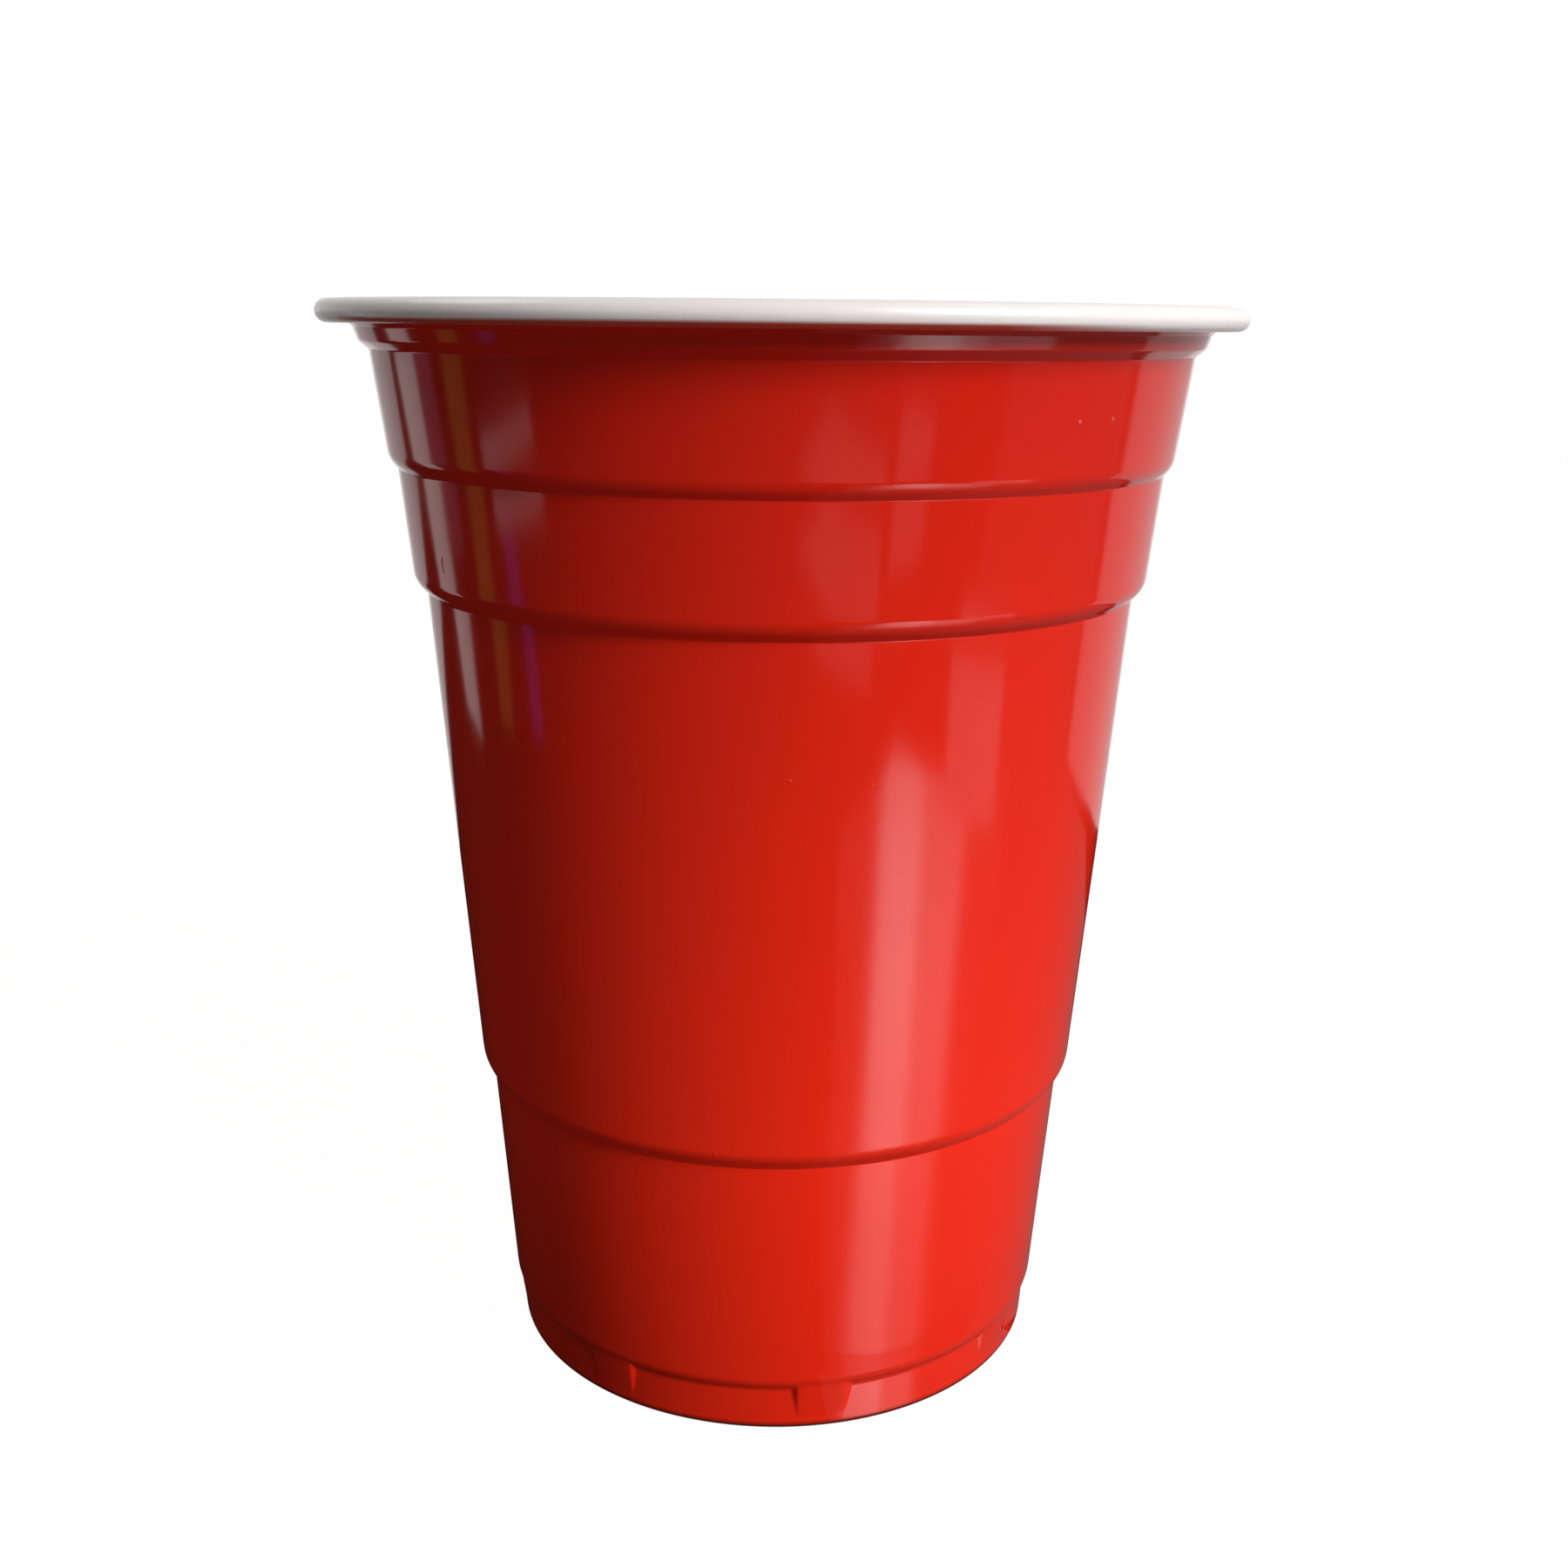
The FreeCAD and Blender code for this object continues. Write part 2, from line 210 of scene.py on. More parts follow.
@dataclass(frozen=True)
class Section:
    """The section of the sheet, as one line that its outer face follows to the cut edge.

    Gaps and zones are in mm. Rows count as the foot's outside down to a margin within its
    radius, and no two rows are closer than the least gap.
    """

    wall: Wall = Wall()
    base: Base = Base()
    lip: Lip = Lip()
    bend_step: float = math.radians(8.0)
    roll_samples: int = 30
    plain_gap: float = 5.0
    fine_gap: float = 0.34
    fine_zone: tuple[float, float] = (1.2, 6.2)
    margin: float = 1.0
    least_gap: float = 0.02

    def line(self) -> tuple[Array, Array]:
        """The outer face from the middle of the base to the cut edge of the roll."""
        base, base_rounds = self.base.corners(self.wall.foot_radius)
        wall, wall_rounds = self.wall.corners()
        roll, turning = self.lip.roll(wall[-1], self.wall.thickness, self.roll_samples)
        corners = np.vstack((base, wall, roll[:1]))
        radii = np.concatenate((base_rounds, wall_rounds))
        points, heading = round_corners(corners, radii, self.bend_step)
        return np.vstack((points, roll[1:])), np.concatenate((heading, turning[1:]))

    def rows(self) -> tuple[Array, Array, Array]:
        """The line's points, with further rows put on its long straight runs.

        The rows on straight runs are a plain gap apart, and a fine gap in the zone of height
        where the lugs stand.

        Returns:
            Points as rows of radius and height, headings, and lengths along the line.
        """
        points, heading = self.line()
        steps = np.hypot(*np.diff(points, axis=0).T)
        length = np.concatenate(([0.0], np.cumsum(steps)))

        def fill(gap: float) -> Array:
            """Lengths a gap apart that lie on runs longer than the gap."""
            added = np.arange(gap, length[-1], gap)
            after = np.searchsorted(length, added)
            return added[length[after] - length[after - 1] > gap]

        fine = fill(self.fine_gap)
        height = np.interp(fine, length, points[:, 1])
        radius = np.interp(fine, length, points[:, 0])
        low, high = self.fine_zone
        outside = radius > self.wall.foot_radius - self.margin
        fine = fine[(height > low) & (height < high) & outside]
        every = np.sort(np.concatenate((length, fill(self.plain_gap), fine)))
        every = every[np.diff(every, prepend=-1.0) > self.least_gap]
        places = np.stack([np.interp(every, length, points[:, k]) for k in (0, 1)], axis=1)
        return places, np.interp(every, length, heading), every


# The stacking lugs


@dataclass(frozen=True)
class Lugs:
    """Small lugs round the foot that keep stacked cups apart, in mm and degrees.

    side holds where the columns of a side start and end past the half angle. The lugs push
    the wall only from a little under their base up, and within a margin of the foot's radius.
    """

    count: int = 8
    turn: float = 10.0
    half_angle: float = 4.9
    base: float = 1.7
    top: float = 5.1
    head: float = 6.1
    proud: float = 0.27
    splay: float = 68.0
    soft: float = 0.018
    settle: float = 0.6
    under_base: float = 0.4
    margin: float = 1.0
    side: tuple[float, float] = (-0.35, 1.65)
    column_gap: float = 0.3

    def columns(self, plain: int, cluster: int) -> Array:
        """Angles round the cup, evenly spread, with more of them at the sides of the lugs.

        Args:
            plain: Number of even columns from one lug to the next.
            cluster: Number of columns across each side of a lug.

        Returns:
            Angles from +X in radians, rising through one full turn.
        """
        pitch = 360.0 / self.count
        even = np.linspace(-pitch / 2, pitch / 2, plain, endpoint=False)
        side = np.linspace(self.half_angle + self.side[0], self.half_angle + self.side[1], cluster)
        apart = np.min(np.abs(np.abs(even)[:, None] - side[None, :]), axis=1)
        one = np.sort(np.concatenate((even[apart > self.column_gap], side, -side)))
        turns = self.turn + pitch * np.arange(self.count)
        return np.radians(np.sort((turns[:, None] + one[None, :]).ravel()))

    def stand_out(
        self, radius: Array, height: Array, angle: Array, wall: Wall, inset: float
    ) -> Array:
        """How far the lugs push one face of the sheet out, over the whole grid.

        A lug's front leans out in a straight line from the foot's surface at its base, and
        stays level above its head. Beyond its half angle the front falls back by the way
        along the wall over the tangent of the splay. Where that is further out than the
        wall, the wall follows it, and both edges are softened with the root of a square:
        (a + b + sqrt((a - b)^2 + 4 soft^2)) / 2 stands for the larger of a and b. That bend
        never quite ends, so soft^2 over the settling length is taken off the push.

        Args:
            radius: Radius of each row of the plain face, in mm.
            height: Height of each row, in mm.
            angle: Angle of each column, in radians.
            wall: The wall that the lugs stand on.
            inset: How far this face lies inside the outer one, in mm.

        Returns:
            Distances in mm, one for each row and column.
        """
        slope = math.tan(math.radians(wall.tiers[0].draft))
        tip = wall.foot_radius + self.base * slope
        lean = (wall.foot_radius + self.top * slope + self.proud - tip) / (self.top - self.base)
        front = tip - inset + lean * (np.minimum(height, self.head) - self.base)
        pitch = 2 * math.pi / self.count
        near = (angle - math.radians(self.turn) + pitch / 2) % pitch - pitch / 2
        narrower = inset * math.tan(math.radians(90 - self.splay) / 2)
        beyond = np.abs(near)[None, :] * radius[:, None]
        beyond -= math.radians(self.half_angle) * radius[:, None] - narrower
        fall = self.larger(beyond / math.tan(math.radians(self.splay)), 0.0)
        pushed = self.larger(front[:, None] - fall, radius[:, None]) - radius[:, None]
        pushed -= self.soft**2 / self.settle
        outside = radius > wall.foot_radius - self.margin
        on_wall = outside & (height > self.base - self.under_base)
        return np.where(on_wall[:, None], np.maximum(pushed, 0.0), 0.0)

    def larger(self, first: Array | float, second: Array | float) -> Array:
        """The larger of two values, with a soft bend where they cross."""
        return (first + second + np.sqrt((first - second) ** 2 + 4 * self.soft**2)) / 2


# The cup as one closed mesh


@dataclass(frozen=True)
class Cup:
    """The cup: its section carried round the upright axis, with its lugs pushed out.

    crisp_sides is how many times steeper the sides of the lugs are shaded than they are.
    """

    name: str = "cup_sheet"
    node: str = "cup"
    slot: str = "cup_sheet"
    section: Section = Section()
    lugs: Lugs = Lugs()
    plain_columns: int = 22
    side_columns: int = 8
    crisp_sides: float = 2.0

    def grid(self, face: Face) -> tuple[Array, Array]:
        """One face of the sheet as a grid of points, with the normal at each.

        The inner face is the outer one moved a thickness to the left of its heading. With
        the push p of the lugs, a point is (r + p) out along its column and z up. Its normal
        is the cross product of the two ways along the grid: sin h out, the sum of cos h and
        the change of p along the row down, and sin h times the change of p round the cup
        over its radius back round.

        Args:
            face: The face of the sheet.

        Returns:
            Points in metres and unit normals out of the plastic, rows by columns by three.
        """
        wall = self.section.wall
        points, heading, length = self.section.rows()
        inset = wall.thickness if face is Face.INNER else 0.0
        radius = np.maximum(points[:, 0] - inset * np.sin(heading), 0.0)
        height = points[:, 1] + inset * np.cos(heading)
        angle = self.lugs.columns(self.plain_columns, self.side_columns)
        push = self.lugs.stand_out(radius, height, angle, wall, inset)

        out = np.stack((np.cos(angle), np.sin(angle), np.zeros_like(angle)), axis=1)[None]
        around = np.stack((-np.sin(angle), np.cos(angle), np.zeros_like(angle)), axis=1)[None]
        up = np.array([0.0, 0.0, 1.0])[None, None]
        full = radius[:, None] + push
        places = full[..., None] * out + (height[:, None, None] * up)

        along = np.gradient(push, length, axis=0)
        wrapped = np.pad(push, ((0, 0), (1, 1)), mode="wrap")
        turned = np.concatenate(([angle[-1] - 2 * math.pi], angle, [angle[0] + 2 * math.pi]))
        across = np.gradient(wrapped, turned, axis=1)[:, 1:-1] / np.maximum(full, 1.0)
        across = across * self.crisp_sides
        sine, cosine = np.sin(heading)[:, None], np.cos(heading)[:, None]
        normal = (sine[..., None] * out) - (cosine + along)[..., None] * up
        normal = normal - (across * sine)[..., None] * around
        normal /= np.linalg.norm(normal, axis=2, keepdims=True)
        return places * MM, normal if face is Face.OUTER else -normal

    def build(self) -> bpy.types.Object:
        """Joins the two faces over the cut edge into one closed mesh.

        Rings of points run from the middle of the base up the outer face, over the cut edge
        and down the inner face. Two rings are joined by quads, in the order that points
        them outwards, and the first and last ring by a fan to a point on the axis.

        Returns:
            The cup's object, at the origin.
        """
        outer, outer_normals = self.grid(Face.OUTER)
        inner, inner_normals = self.grid(Face.INNER)
        columns = outer.shape[1]
        rings = np.concatenate((outer[1:], inner[:0:-1]))
        normals = np.concatenate((outer_normals[1:], inner_normals[:0:-1]))
        count = len(rings)
        points = np.concatenate((rings.reshape(-1, 3), outer[:1, 0], inner[:1, 0]))
        ends = np.array([(0.0, 0.0, -1.0), (0.0, 0.0, 1.0)])
        directions = np.concatenate((normals.reshape(-1, 3), ends))

        first = np.arange(columns)
        second = np.roll(first, -1)
        start = (np.arange(count - 1) * columns)[:, None]
        quads = np.stack(
            (start + first, start + second, start + columns + second, start + columns + first),
            axis=2,
        ).reshape(-1, 4)
        under = np.full(columns, count * columns)
        bottom = np.stack((under, second, first), axis=1)
        last = (count - 1) * columns
        floor = np.stack((last + first, last + second, under + 1), axis=1)
        faces = Face.INNER.value * np.ones(len(quads), int)
        faces[: (len(outer) - 2) * columns] = Face.OUTER.value
        marks = np.concatenate(
            (faces, np.full(columns, Face.OUTER.value), np.full(columns, Face.INNER.value))
        )
        mesh = self.fill_mesh(points, quads, np.concatenate((bottom, floor)), marks)
        mesh.normals_split_custom_set_from_vertices(directions.tolist())
        return put_in_scene(self.name, mesh)

    def fill_mesh(
        self, points: Array, quads: Array, triangles: Array, marks: Array
    ) -> bpy.types.Mesh:
        """A mesh filled from whole arrays.

        Args:
            points: Places of the vertices, in metres.
            quads: Corners of the four-sided faces.
            triangles: Corners of the three-sided faces, which come after them.
            marks: Material of each face.

        Returns:
            The mesh, shaded smooth.
        """
        mesh = bpy.data.meshes.new(self.name)
        corners = np.concatenate((quads.ravel(), triangles.ravel()))
        sides = np.concatenate((np.full(len(quads), 4), np.full(len(triangles), 3)))
        mesh.vertices.add(len(points))
        mesh.loops.add(len(corners))
        mesh.polygons.add(len(sides))
        mesh.vertices.foreach_set("co", points.astype(np.float32).ravel())
        mesh.loops.foreach_set("vertex_index", corners.astype(np.int32))
        starts = np.concatenate(([0], np.cumsum(sides)[:-1]))
        mesh.polygons.foreach_set("loop_start", starts.astype(np.int32))
        mesh.polygons.foreach_set("material_index", marks.astype(np.int32))
        mesh.polygons.foreach_set("use_smooth", np.ones(len(sides), bool))
        mesh.update(calc_edges=True)
        mesh.validate()
        return mesh

    def dress(self, cup: bpy.types.Object, outside: "GlossyRed", inside: "SoftWhite") -> None:
        """Gives the two faces of the sheet their finishes.

        Args:
            cup: The cup's object.
            outside: Finish of the outer face.
            inside: Finish of the inner face.
        """
        cup.data.materials.append(outside.material())
        cup.data.materials.append(inside.material())

    def join_frame(self, cup: bpy.types.Object) -> None:
        """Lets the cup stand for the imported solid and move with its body."""
        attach(cup, "root")
        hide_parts(self.node)


def put_in_scene(name: str, data: bpy.types.ID) -> bpy.types.Object:
    """Makes an object that holds a mesh, lamp or camera, and puts it in the scene.

    Args:
        name: Name of the object.
        data: What it holds.

    Returns:
        The object, at the origin.
    """
    made = bpy.data.objects.new(name, data)
    bpy.context.scene.collection.objects.link(made)
    return made


# Finishes


class NodeBoard:
    """A node tree with short ways to add nodes and join them.

    The inputs and results of a Mix node share their names, so those for colours go by their
    places.
    """

    MIX_SHARE, MIX_FIRST, MIX_SECOND, MIX_COLOUR = 0, 6, 7, 2
    NOISE_MIDDLE = 0.5

    def __init__(self, tree: bpy.types.NodeTree) -> None:
        """Takes an empty tree.

        Args:
            tree: The tree that the nodes go into.
        """
        self.tree = tree

    def add(self, kind: str, inputs: dict | None = None, **settings) -> bpy.types.Node:
        """Adds a node, sets its own settings, and sets or joins its inputs.

        Args:
            kind: Blender's name for the node.
            inputs: Values or sockets by the name or number of each input.
            settings: Settings of the node.

        Returns:
            The node.
        """
        node = self.tree.nodes.new(kind)
        for key, value in settings.items():
            setattr(node, key, value)
        for key, value in (inputs or {}).items():
            if isinstance(value, bpy.types.NodeSocket):
                self.tree.links.new(value, node.inputs[key])
            else:
                node.inputs[key].default_value = value
        return node

    def math(self, operation: str, *values: object) -> bpy.types.NodeSocket:
        """The result of a Math node on values or sockets."""
        return self.add("ShaderNodeMath", dict(enumerate(values)), operation=operation).outputs[0]

    def vector(self, operation: str, *values: object) -> bpy.types.NodeSocket:
        """The vector result of a Vector Math node on values or sockets."""
        node = self.add("ShaderNodeVectorMath", dict(enumerate(values)), operation=operation)
        return node.outputs["Vector"]

    def measure(self, operation: str, *values: object) -> bpy.types.NodeSocket:
        """The number that a Vector Math node gives, such as a length."""
        node = self.add("ShaderNodeVectorMath", dict(enumerate(values)), operation=operation)
        return node.outputs["Value"]

    def ramp(self, value: object, start: float, end: float) -> bpy.types.NodeSocket:
        """How far a value has come from its start to its end, from zero to one."""
        inputs = {"Value": value, "From Min": start, "From Max": end}
        return self.add("ShaderNodeMapRange", inputs).outputs["Result"]

    def blend(self, share: object, first: object, second: object) -> bpy.types.NodeSocket:
        """The first colour, with a share of the second from zero to one."""
        inputs = {self.MIX_SHARE: share, self.MIX_FIRST: first, self.MIX_SECOND: second}
        return self.add("ShaderNodeMix", inputs, data_type="RGBA").outputs[self.MIX_COLOUR]

    def place_in_mm(self) -> bpy.types.NodeSocket:
        """The place on the piece in millimetres, in the frame's own axes."""
        place = self.add("ShaderNodeTexCoord").outputs["Object"]
        return self.vector("MULTIPLY", place, (1 / MM, 1 / MM, 1 / MM))

    def noise(self, place: object, stretch: Point, detail: float) -> bpy.types.NodeSocket:
        """Noise around zero, with so many cells to the millimetre along each axis."""
        spread = self.vector("MULTIPLY", place, stretch)
        inputs = {"Vector": spread, "Scale": 1.0, "Detail": detail, "Roughness": 0.5}
        noise = self.add("ShaderNodeTexNoise", inputs).outputs[0]
        return self.math("SUBTRACT", noise, self.NOISE_MIDDLE)


def start_material(name: str) -> tuple[bpy.types.Material, NodeBoard]:
    """Makes a material with no nodes.

    Args:
        name: Name of the material.

    Returns:
        The material, and the board that its nodes go on.
    """
    made = bpy.data.materials.new(name)
    made.use_nodes = True
    made.node_tree.nodes.clear()
    return made, NodeBoard(made.node_tree)


class FormedSheet:
    """What forming leaves on the sheet: slow waves, fine lines round the cup and haze.

    Each is a noise, with its cells to the millimetre and its detail.
    """

    NAME = "formed sheet"
    WAVES: tuple[Point, float] = ((0.055, 0.055, 0.02), 1.0)
    LINES: tuple[Point, float] = ((0.05, 0.05, 2.4), 3.0)
    HAZE: tuple[Point, float] = ((0.16, 0.16, 0.09), 4.0)
    HAZE_SPREAD = 1.6
    HAZE_MIDDLE = 0.5

    @classmethod
    def group(cls) -> bpy.types.NodeTree:
        """The shared node group, made when it is first asked for.

        Returns:
            A group with inputs for the heights of waves and lines in mm, and outputs for
            the height in mm and for haze from 0 to 1.
        """
        found = bpy.data.node_groups.get(cls.NAME)
        if found:
            return found
        tree = bpy.data.node_groups.new(cls.NAME, "ShaderNodeTree")
        for name in ("Wave Height", "Line Height"):
            tree.interface.new_socket(name, in_out="INPUT", socket_type="NodeSocketFloat")
        for name in ("Height", "Haze"):
            tree.interface.new_socket(name, in_out="OUTPUT", socket_type="NodeSocketFloat")
        board = NodeBoard(tree)
        given = board.add("NodeGroupInput").outputs
        place = board.place_in_mm()
        waves = board.math("MULTIPLY", board.noise(place, *cls.WAVES), given["Wave Height"])
        lines = board.math("MULTIPLY", board.noise(place, *cls.LINES), given["Line Height"])
        haze = board.noise(place, *cls.HAZE)
        haze = board.math("MULTIPLY_ADD", haze, cls.HAZE_SPREAD, cls.HAZE_MIDDLE)
        height = board.math("ADD", waves, lines)
        board.add("NodeGroupOutput", {"Height": height, "Haze": board.math("MAXIMUM", haze, 0.0)})
        return tree


@dataclass(frozen=True)
class Mark:
    """A small mark in the sheet: its turn from the front, its place, size and lift in mm.

    A mark is as many times taller than it is wide as tall says.
    """

    turn: float
    height: float
    radius: float
    size: float
    lift: float
    tall: float = 1.0

    def place(self) -> Point:
        """The middle of the mark, in mm."""
        turn = math.radians(self.turn)
        return (self.radius * math.sin(turn), -self.radius * math.cos(turn), self.height)


@dataclass(frozen=True)
class GlossyRed:
    """The outer face: glossy red plastic.

    Its colour goes from the low one to a darker one between two heights: painted shade for the
    lip's shadow and the weaker light high on the cup. Two further heights hold where painted
    shade on the lowest edge, where the cup meets the floor, starts and is full. All are in mm.
    """

    low_colour: Colour = (0.84, 0.022, 0.006, 1.0)
    # Painted shade: the darker colour towards the top of the cup, for the lip's shadow and weaker
    # light there.
    painted_top_shade: Colour = (0.50, 0.012, 0.005, 1.0)
    low: float = 30.0
    high: float = 118.0
    # Painted shade where the cup meets the floor: the lowest edge is darkened in colour.
    contact_shade_heights: tuple[float, float] = (1.15, 0.45)
    contact_shade_colour: Colour = (0.10, 0.010, 0.005, 1.0)
    blotch: float = 0.10
    roughness: float = 0.075
    haze: float = 0.06
    wave_height: float = 0.10
    line_height: float = 0.0012
    marks: tuple[Mark, ...] = (
        Mark(39.1, 104.20, 41.71, 0.32, 0.12),
        Mark(45.5, 104.32, 41.73, 0.28, 0.12),
        Mark(1.7, 72.32, 36.60, 0.28, 0.06),
        Mark(13.6, 71.80, 36.56, 0.24, 0.06),
        Mark(-10.2, 33.30, 33.55, 0.26, 0.08, tall=2.4),
        Mark(-55.6, 89.60, 39.22, 0.30, -0.08, tall=4.0),
    )

    def material(self) -> bpy.types.Material:
        """Builds the material.

        The height is the sheet's own plus each mark, which is its lift times one less the
        distance from its middle over its size, squared and never below zero.

        Returns:
            The material.
        """
        made, board = start_material("glossy_red_plastic")
        sheet = board.add(
            "ShaderNodeGroup",
            {"Wave Height": self.wave_height, "Line Height": self.line_height},
            node_tree=FormedSheet.group(),
        )
        place = board.place_in_mm()
        height = sheet.outputs["Height"]
        for mark in self.marks:
            apart = board.vector("SUBTRACT", place, mark.place())
            apart = board.vector("MULTIPLY", apart, (1.0, 1.0, 1 / mark.tall))
            near = board.math("MULTIPLY_ADD", board.measure("LENGTH", apart), -1 / mark.size, 1.0)
            near = board.math("POWER", board.math("MAXIMUM", near, 0.0), 2.0)
            height = board.math("MULTIPLY_ADD", near, mark.lift, height)
        bump = board.add("ShaderNodeBump", {"Strength": 1.0, "Distance": MM, "Height": height})
        haze = sheet.outputs["Haze"]
        level = board.add("ShaderNodeSeparateXYZ", {0: place}).outputs["Z"]
        # The share is painted shade, darker towards the top, plus a random blotchy tone from the
        # haze.
        share = board.math(
            "MULTIPLY_ADD", haze, self.blotch, board.ramp(level, self.low, self.high)
        )
        colour = board.blend(share, self.low_colour, self.painted_top_shade)
        # Painted shade on the lowest edge, where the cup meets the floor.
        colour = board.blend(board.ramp(level, *self.contact_shade_heights), colour, self.contact_shade_colour)
        shader = board.add(
            "ShaderNodeBsdfPrincipled",
            {
                "Base Color": colour,
                "Roughness": board.math("MULTIPLY_ADD", haze, self.haze, self.roughness),
                "Normal": bump.outputs[0],
            },
        )
        board.add("ShaderNodeOutputMaterial", {"Surface": shader.outputs[0]})
        return made


@dataclass(frozen=True)
class SoftWhite:
    """The inner face and the outside of the lip: white plastic with a soft gloss.

    The lip's lower edge, on the side that is seen first, is painted dark red: partly the red
    of the outer face, standing in for where the lip sits, and partly painted shade of the lip's
    underside. It lies between two heights, past the middle of the roll, and where the place's
    share along the side vector lies between two values. Heights and radii are in mm.
    """

    colour: Colour = (0.72, 0.675, 0.66, 1.0)
    tint: Colour = (0.70, 0.657, 0.642, 1.0)
    # Painted dark red of the lip's lower edge: part the outer face's red, part painted shade of
    # the underside.
    shaded_lip_edge: Colour = (0.42, 0.05, 0.03, 1.0)
    blush_height: tuple[float, float] = (112.66, 112.38)
    blush_radius: float = 46.3
    blush_fade: float = 0.1
    blush_side: Point = (-0.259, -0.966, 0.0)
    blush_share: tuple[float, float] = (0.55, 0.80)
    roughness: float = 0.22
    haze: float = 0.10
    wave_height: float = 0.10
    line_height: float = 0.0012

    def shaded_lip_edge_share(self, board: NodeBoard) -> bpy.types.NodeSocket:
        """How red the lip's lower edge is, from zero to one, as the product of three ramps."""
        # Mask of the painted dark red on the lip's lower edge, which is partly painted shade of
        # its underside.
        place = board.place_in_mm()
        level = board.vector("MULTIPLY", place, (1.0, 1.0, 0.0))
        middle, fade = self.blush_radius, self.blush_fade
        along = [share * middle for share in self.blush_share]
        height = board.add("ShaderNodeSeparateXYZ", {0: place}).outputs["Z"]
        lower = board.ramp(height, *self.blush_height)
        outer = board.ramp(board.measure("LENGTH", level), middle - fade, middle + fade)
        front = board.ramp(board.measure("DOT_PRODUCT", level, self.blush_side), *along)
        return board.math("MULTIPLY", board.math("MULTIPLY", lower, outer), front)

    def material(self) -> bpy.types.Material:
        """Builds the material, with the sheet's own height and haze.

        Returns:
            The material.
        """
        made, board = start_material("soft_white_plastic")
        sheet = board.add(
            "ShaderNodeGroup",
            {"Wave Height": self.wave_height, "Line Height": self.line_height},
            node_tree=FormedSheet.group(),
        )
        bump = board.add(
            "ShaderNodeBump",
            {"Strength": 1.0, "Distance": MM, "Height": sheet.outputs["Height"]},
        )
        haze = sheet.outputs["Haze"]
        colour = board.blend(haze, self.colour, self.tint)
        # Painted dark red on the lip's lower edge: part the outer face's red, part painted shade.
        colour = board.blend(self.shaded_lip_edge_share(board), colour, self.shaded_lip_edge)
        shader = board.add(
            "ShaderNodeBsdfPrincipled",
            {
                "Base Color": colour,
                "Roughness": board.math("MULTIPLY_ADD", haze, self.haze, self.roughness),
                "Normal": bump.outputs[0],
            },
        )
        board.add("ShaderNodeOutputMaterial", {"Surface": shader.outputs[0]})
        return made


# Studio, light and camera


@dataclass(frozen=True)
class SoftLamp:
    """A plain area lamp that faces the cup, in metres and watts.

    Its azimuth is counted from the side that is seen first towards +X, and its elevation
    from the floor, both in degrees about its target.
    """

    name: str
    azimuth: float
    size: tuple[float, float]
    power: float
    elevation: float = 33.0
    distance: float = 1.45
    target: Point = (0.0, 0.0, 0.0)
    colour: tuple[float, float, float] = (1.0, 1.0, 1.0)

    def hang(self) -> bpy.types.Object:
        """Makes the lamp and turns it to its target.

        Returns:
            The lamp's object.
        """
        data = bpy.data.lights.new(self.name, "AREA")
        data.shape = "RECTANGLE"
        data.size, data.size_y = self.size
        data.energy = self.power
        data.color = self.colour
        lamp = put_in_scene(self.name, data)
        turn, rise = math.radians(self.azimuth), math.radians(self.elevation)
        level = Vector((math.sin(turn), -math.cos(turn), 0.0)) * math.cos(rise)
        back = level + Vector((0.0, 0.0, math.sin(rise)))
        facing = (-back).to_track_quat("-Z", "Y").to_matrix().to_4x4()
        place = Vector(self.target) + back * self.distance
        lamp.matrix_world = Matrix.Translation(place) @ facing
        lamp.visible_camera = False
        return lamp


@dataclass(frozen=True)
class Card:
    """A flat card just over the floor that only gloss sees, in metres.

    It shows one even shade, whatever light falls on it, so each card is a part of the room
    that the cup mirrors. A card for soft light is met by that light instead of by gloss.
    """

    name: str
    lift: float
    shade: tuple[float, float, float]
    outline: tuple[tuple[float, float], ...]
    soft_light: bool = False

    def finish(self, board: NodeBoard) -> bpy.types.NodeSocket:
        """The shader of the card's face."""
        return board.add("ShaderNodeEmission", {"Color": (*self.shade, 1.0)}).outputs[0]

    def lay(self) -> bpy.types.Object:
        """Makes the card and lays it down.

        Returns:
            The card's object.
        """
        mesh = bpy.data.meshes.new(self.name)
        corners = [(*corner, self.lift) for corner in self.outline]
        mesh.from_pydata(corners, [], [tuple(range(len(corners)))])
        made, board = start_material(self.name)
        board.add("ShaderNodeOutputMaterial", {"Surface": self.finish(board)})
        mesh.materials.append(made)
        card = put_in_scene(self.name, mesh)
        card.visible_camera = card.visible_shadow = False
        card.visible_diffuse, card.visible_glossy = self.soft_light, not self.soft_light
        return card


@dataclass(frozen=True)
class PolishedCard(Card):
    """A card with a polish of its own, in which the cup sees the lamps again."""

    specular: float = 0.8
    roughness: float = 0.08

    def finish(self, board: NodeBoard) -> bpy.types.NodeSocket:
        """The shader of the card's face: its shade under a clear polish."""
        inputs = {
            "Base Color": (*self.shade, 1.0),
            "Roughness": self.roughness,
            "Specular IOR Level": self.specular,
        }
        return board.add("ShaderNodeBsdfPrincipled", inputs).outputs[0]


